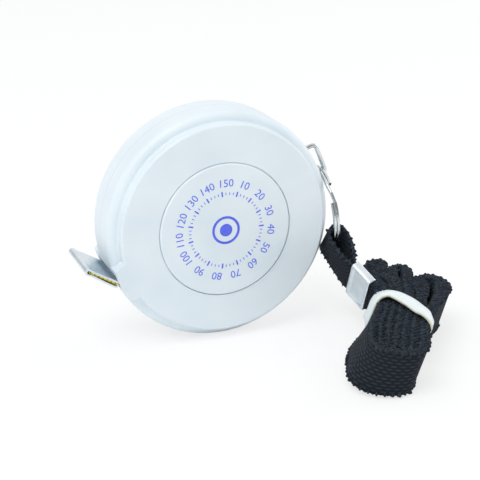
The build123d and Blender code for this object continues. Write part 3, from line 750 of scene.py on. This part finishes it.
stitchLine, stitchAcross = atStitches(webbingAcross)
stitchThick = atStitches(webbingThick)[1]
stitchSpread = atStitches(webbingSpread)[1]
stitchLine = stitchLine[:-1]
stitchTangents, stitchWide = sideways(stitchLine, stitchAcross[:-1], True)
stitchMarks = {markName: [] for markName in stitchMarkKinds}
stitchPlaces = []
for index, (point, along, wide) in enumerate(zip(stitchLine, stitchTangents, stitchWide)):
    inCrimp = point - onCrimp(0, crimp["forward"])
    hidden = abs(inCrimp.dot(crimpPlace["along"])) < crimp["long"] / 2 + stitch["crimpGap"]
    if hidden and inCrimp.length < stitch["crimpReach"]:
        continue
    rows = 2 if stitchThick[index] < stitch["doubled"] else 4
    swell = stitchThick[index] / webbing["thick"] * 2 / rows
    sway = stitch["sway"] * sin(stitch["swayTurn"] * index)
    for edge in (1, -1):
        reach = wide * edge * (webbing["width"] / 2 * stitchSpread[index] - stitch["high"])
        for row in range(index % 2, rows, 2):
            stray = stitch["stray"] * sin(stitch["strayTurn"] * index + row)
            aside = (row - (rows - 1) / 2) * 2 * stitch["aside"] * swell + stray
            stitchPlaces.append((point + reach + along.cross(wide) * aside) * mm)
            stitchMarks["alongWay"] += list(along)
            stitchMarks["acrossWay"] += list(wide * edge)
            stitchMarks["side"].append((1 if row % 2 else -1) + sway)
            stitchMarks["swell"].append(swell)
stitchMesh = bpy.data.meshes.new("selvedgePoints")
stitchMesh.from_pydata(stitchPlaces, [], [])
for markName, kind in stitchMarkKinds.items():
    mark = stitchMesh.attributes.new(markName, kind, "POINT")
    mark.data.foreach_set("vector" if kind == "FLOAT_VECTOR" else "value", stitchMarks[markName])
selvedgeMesh = grown("lanyardSelvedge", stitchTree(), {
    "Long": stitch["long"] * mm, "Thick": stitch["thick"] * mm, "High": stitch["high"] * mm,
    "Slant": radians(stitch["slant"]), "Uneven": stitch["uneven"], "Seed": stitch["seed"],
    "Finish": selvedge}, stitchMesh)
edging = addPiece("lanyardSelvedge", selvedgeMesh, "lanyard", selvedge)
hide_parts("lanyard_hank", "lanyard_strap", "lanyard_loop")
print("webbing", round(webbingLength), "mm,", len(stitchPlaces), "edge stitches")


# crimp: sheet folded round the doubled webbing, its faces pressed in
# columns in shares of the flat's half width; stations in shares of the half length, and how far the edge is drawn in
crimpColumns = (-1, -0.96, -0.91, -0.86, -0.8, -0.4, 0, 0.4, 0.8, 0.86, 0.91, 0.96, 1)
crimpStations = [(-1, 0.12), (-0.985, 0.03), (-0.95, 0), (-0.86, 0), (-0.76, 0), (-0.66, 0), (-0.3, 0)]
crimpStations += [(0.0, 0.0)] + [(-share, inset) for share, inset in crimpStations[::-1]]


def crimpMesh():
    halfLong, halfWide, halfThick = crimp["long"] / 2, crimp["wide"] / 2, crimp["thick"] / 2
    corner, forward = crimp["corner"], crimp["forward"]
    flatWide, flatThick = halfWide - corner, halfThick - corner
    outline = [(share * flatWide, halfThick) for share in crimpColumns]
    bends = [radians(angle) for angle in crimp["bends"]]
    outline += [(flatWide + corner * sin(angle), flatThick + corner * cos(angle)) for angle in bends]
    outline += [(w, -s) for w, s in outline[::-1]]
    first, last = len(crimpColumns), len(crimpColumns) + 2 * len(bends)
    outline += [(-w, s) for w, s in outline[first:last][::-1]]
    slimWide, slimThick = 1 - crimp["wall"] / halfWide, 1 - crimp["wall"] / halfThick
    mesh = bmesh.new()
    outer, inner = [], []
    for share, inset in crimpStations:
        along = share * halfLong
        pressedLong = 1 - eased(halfLong - 2 * crimp["rimLong"], halfLong - crimp["rimLong"], abs(along))
        rowOut, rowIn = [], []
        for w, s in outline:
            pressedWide = 1 - eased(flatWide - crimp["rimWide"], flatWide, abs(w))
            depth = crimp["dish"] * pressedLong * pressedWide
            face = (s - depth if s > 0 else s + depth) * (1 - inset / halfThick)
            rowOut.append(mesh.verts.new(onCrimp(along, forward + face, w * (1 - inset / halfWide)) * mm))
            rowIn.append(mesh.verts.new(onCrimp(along, forward + s * slimThick, w * slimWide) * mm))
        outer.append(rowOut)
        inner.append(rowIn)
    count = len(outline)
    ends = [(outer[0], inner[0]), (outer[-1], inner[-1])]
    for near, far in [*zip(outer, outer[1:]), *zip(inner, inner[1:]), *ends]:
        for side in range(count):
            other = (side + 1) % count
            mesh.faces.new((near[side], far[side], far[other], near[other]))
    bmesh.ops.recalc_face_normals(mesh, faces=mesh.faces)
    result = bpy.data.meshes.new("webbingCrimp")
    mesh.to_mesh(result)
    mesh.free()
    result.polygons.foreach_set("use_smooth", [True] * len(result.polygons))
    result.set_sharp_from_angle(angle=radians(crimp["sharp"]))
    return result


clamp = addPiece("webbingCrimp", crimpMesh(), "lanyard", aluminium)
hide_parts("lanyard_crimp")
print("crimp folded")


# rubber band round the waist, bowed over the top, its near edge curled under on the right
band = {"width": 2.9, "thick": 0.56, "step": 0.3, "curl": 0.1, "tilt": 0.04, "facing": 0.5,
        "columns": (-0.94, -0.6, -0.3, 0, 0.5, 0.94)}
# where the curl and the turn to the left start and are full, across the hank and up it, in millimetres
bandSpans = {"curlUp": (9.5, 10.8), "curlLeft": (3.5, -1.0), "curlRight": (-6.0, -3.5),
             "facingAcross": (4.0, 6.5), "facingUp": (1.5, 5.0)}
# along, left and up on the hank's frame
bandRoute = [
    (6.0, 3.0, 0.28), (11.5, 7.4, 0.28), (14.2, 8.5, 0.9), (12.9, 8.2, 3.0), (11.4, 7.9, 5.2), (10.6, 7.1, 7.2),
    (10.3, 6.5, 9.4), (10.6, 5.8, 10.8), (11.9, 4.6, 11.05), (12.5, 3.2, 11.05), (11.6, 1.6, 11.1), (10.0, -0.1, 11.1),
    (8.2, -1.7, 11.1), (5.9, -3.4, 11.0), (4.5, -4.6, 10.9), (3.6, -5.3, 10.7), (3.1, -6.1, 10.1), (2.8, -6.65, 9.0),
    (2.5, -6.3, 8.0), (2.2, -4.9, 5.2), (2.0, -3.6, 1.0), (2.8, -1.8, 0.28), (6.0, 3.0, 0.28),
]


def bandPath():
    line = evenly(smoothLine([onHank(*point) for point in bandRoute]), band["step"])[:-1]
    across, curls = [], []
    for point in line:
        local = point - hankPlace["origin"]
        y = local.dot(hankPlace["left"])
        turned = (eased(*bandSpans["curlUp"], local.z) * eased(*bandSpans["curlLeft"], y)
                  * eased(*bandSpans["curlRight"], y))
        facing = eased(*bandSpans["facingAcross"], y) * eased(*bandSpans["facingUp"], local.z)
        tilted = hankPlace["along"] + Vector((0, 0, 1)) * turned * band["tilt"]
        across.append(tilted + hankPlace["left"] * facing * band["facing"])
        curls.append(band["curl"] * turned)
    return line, across, curls


bandPoints, bandAcross, bandCurls = bandPath()
halfBand, halfRubber = band["width"] / 2, band["thick"] / 2
bandSection = [(share * halfBand, -halfRubber) for share in band["columns"]] + [(halfBand, 0)]
bandSection += [(v, -n) for v, n in bandSection[-2::-1]] + [(-halfBand, 0)]
bandMesh, bandLength = sweptStrip("waistBand", bandPoints, bandAcross, bandSection, True,
                                  lambda index, v, n: n - bandCurls[index] * min(v, 0) ** 2)
waistBand = addPiece("waistBand", bandMesh, "lanyard", rubber)
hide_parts("rubber_band")
print("rubber band", round(bandLength), "mm round")


# tape between the mouth and the tab, one ribbon; its end in the tab is doubled
lead = {"start": -1.0, "end": 22.4, "width": 12.7, "thick": 0.3, "chamfer": 0.08, "segments": 60,
        "tabSpan": (15.2, 15.8), "endThick": 0.1, "endWide": 0.045}
leadPoints = []
for index in range(lead["segments"] + 1):
    leadPoints.append(onTape(lead["start"] + (lead["end"] - lead["start"]) * index / lead["segments"], 0, 0))
halfTape, halfSheet = lead["width"] / 2, lead["thick"] / 2
flatTape = halfTape - lead["chamfer"]
tapeSection = [(-halfTape, 0), (-flatTape, -halfSheet), (flatTape, -halfSheet), (halfTape, 0),
               (flatTape, halfSheet), (-flatTape, halfSheet)]
leadFull = [eased(*lead["tabSpan"], (point - tapePlace["foot"]).dot(tapePlace["along"])) for point in leadPoints]
leadMesh = sweptStrip("tapeRibbon", leadPoints, [Vector((0, 1, 0))] * len(leadPoints), tapeSection, False,
                      lambda index, v, n: n * (1 + lead["endThick"] * leadFull[index]),
                      [1 + lead["endWide"] * full for full in leadFull])[0]
leadMesh.polygons.foreach_set("use_smooth", [False] * len(leadMesh.polygons))
ribbon = addPiece("tapeRibbon", leadMesh, None, yellowTape)
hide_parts("tape_lead")
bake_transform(ribbon)
print("tape ribbon laid")


# coil spring under the button, squeezed between the button and the spring cover
coil = {"radius": 5.0, "wire": 0.25, "front": -14.9, "back": -7.6, "pitch": 1.4, "steps": 40, "sides": 8}


def coilTree():
    tree, inputs = newTree("buttonCoil", {
        "Radius": "Float", "Height": "Float", "Turns": "Float", "Steps": "Int", "Wire": "Float", "Finish": "Material"})
    spiral = addNode(tree, "GeometryNodeCurveSpiral", None, {
        "Resolution": inputs["Steps"], "Rotations": inputs["Turns"], "Start Radius": inputs["Radius"],
        "End Radius": inputs["Radius"], "Height": inputs["Height"]})
    wire = addNode(tree, "GeometryNodeCurvePrimitiveCircle", None,
                   {"Resolution": coil["sides"], "Radius": inputs["Wire"]})
    tube = addNode(tree, "GeometryNodeCurveToMesh", None, {
        "Curve": spiral.outputs[0], "Profile Curve": wire.outputs["Curve"], "Fill Caps": True})
    smooth = addNode(tree, "GeometryNodeSetShadeSmooth", None, {"Geometry": tube.outputs[0]})
    endTree(tree, smooth.outputs[0], inputs["Finish"])
    return tree


coilHeight = coil["back"] - coil["front"]
coilMesh = grown("buttonCoil", coilTree(), {
    "Radius": coil["radius"] * mm, "Height": coilHeight * mm, "Turns": coilHeight / coil["pitch"],
    "Steps": coil["steps"], "Wire": coil["wire"] * mm, "Finish": springSteel})
coilMesh.transform(Matrix.Translation((0, coil["front"] * mm, 0)) @ Matrix.Rotation(-pi / 2, 4, "X"))
buttonCoil = addPiece("buttonCoil", coilMesh, None, springSteel)
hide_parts("button_spring")
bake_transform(buttonCoil)
print("button spring coiled")


# plain dial printed on the button: ticks, numbers and a push mark, a ring round a dot
dial = {"face": -16.6, "film": 0.02, "turn": -24.0, "ticks": 60, "longEvery": 4, "tickRadius": 8.0, "tickLong": 0.55,
        "tickWide": 0.16, "numbers": 15, "numberStep": 10, "numberRadius": 10.2, "numberHigh": 2.35,
        "markRadius": 3.1, "markStroke": 0.55, "dotShare": 0.45, "dotFill": 0.44, "steps": 64}
# turns what is drawn on the ground plane to face the front
upright = Matrix(((1, 0, 0, 0), (0, 0, -1, 0), (0, 1, 0, 0), (0, 0, 0, 1)))


def tickTree():
    tree, inputs = newTree("dialTicks", {
        "Count": "Int", "Radius": "Float", "Long": "Float", "Wide": "Float", "Film": "Float", "Every": "Int",
        "Finish": "Material"})
    circle = addNode(tree, "GeometryNodeMeshCircle", None, {"Vertices": inputs["Count"], "Radius": inputs["Radius"]})
    size = vector(tree, inputs["Long"], inputs["Wide"], inputs["Film"])
    tick = addNode(tree, "GeometryNodeMeshCube", None, {"Size": size})
    place = addNode(tree, "GeometryNodeInputPosition")
    turn = addNode(tree, "FunctionNodeAlignRotationToVector", {"axis": "X"}, {"Vector": place.outputs[0]})
    number = addNode(tree, "GeometryNodeInputIndex")
    left = maths(tree, "MODULO", number.outputs[0], inputs["Every"])
    stretch = maths(tree, "ADD", 1.0, maths(tree, "LESS_THAN", left, 0.5))
    ticks = addNode(tree, "GeometryNodeInstanceOnPoints", None, {
        "Points": circle.outputs[0], "Instance": tick.outputs[0], "Rotation": turn.outputs[0],
        "Scale": vector(tree, stretch, stretch, 1.0)})
    endTree(tree, ticks.outputs[0], inputs["Finish"])
    return tree


def numberMesh(text):
    curve = bpy.data.curves.new("number", "FONT")
    curve.body = text
    curve.size = dial["numberHigh"] * mm
    curve.extrude = dial["film"] / 2 * mm
    curve.align_x = "CENTER"
    curve.align_y = "CENTER"
    curve.resolution_u = 3
    mesh = frozen(bpy.data.objects.new("number", curve))
    bpy.data.curves.remove(curve)
    return mesh


def joined(name, meshes):
    vertices, faces = [], []
    for mesh in meshes:
        first = len(vertices)
        vertices += [vertex.co.copy() for vertex in mesh.vertices]
        faces += [tuple(first + index for index in face.vertices) for face in mesh.polygons]
    whole = bpy.data.meshes.new(name)
    whole.from_pydata(vertices, [], faces)
    return whole


def flatRing(radius, stroke, thick, steps):
    vertices, faces = [], []
    for index in range(steps):
        angle = 2 * pi * index / steps
        for reach, height in ((radius - stroke, -1), (radius, -1), (radius, 1), (radius - stroke, 1)):
            vertices.append(Vector((cos(angle) * reach, sin(angle) * reach, height * thick / 2)) * mm)
        here, there = index * 4, (index + 1) % steps * 4
        for side in range(4):
            nextSide = (side + 1) % 4
            faces.append((here + side, there + side, there + nextSide, here + nextSide))
    mesh = bpy.data.meshes.new("flatRing")
    mesh.from_pydata(vertices, [], faces)
    return mesh


dialParts = [grown("dialTicks", tickTree(), {
    "Count": dial["ticks"], "Radius": dial["tickRadius"] * mm, "Long": dial["tickLong"] * mm,
    "Wide": dial["tickWide"] * mm, "Film": dial["film"] * mm, "Every": dial["longEvery"], "Finish": ink})]
for index in range(dial["numbers"]):
    number = numberMesh(str(dial["numberStep"] * (index + 1)))
    turned = Matrix.Rotation(-2 * pi * index / dial["numbers"], 4, "Z")
    number.transform(turned @ Matrix.Translation((0, dial["numberRadius"] * mm, 0)))
    dialParts.append(number)
dialParts.append(flatRing(dial["markRadius"], dial["markStroke"], dial["film"], dial["steps"]))
dialParts.append(flatRing(dial["markRadius"] * dial["dotShare"], dial["markRadius"] * dial["dotFill"], dial["film"],
                          dial["steps"]))
dialMesh = joined("buttonDial", dialParts)
dialMesh.transform(Matrix.Translation((0, (dial["face"] - dial["film"] / 2) * mm, 0)) @ upright
                   @ Matrix.Rotation(radians(dial["turn"]), 4, "Z"))
addPiece("buttonDial", dialMesh, "button", ink)
print("dial printed")

# lip under the button's rounded edge, which closes the gap round it
lip = {"radius": 14.66, "wide": 0.2, "thick": 0.2, "level": -15.9, "steps": 128}
lipMesh = flatRing(lip["radius"], lip["wide"], lip["thick"], lip["steps"])
lipMesh.transform(Matrix.Translation((0, lip["level"] * mm, 0)) @ upright)
addPiece("buttonLip", lipMesh, "button", absWhite)
print("button lip placed")
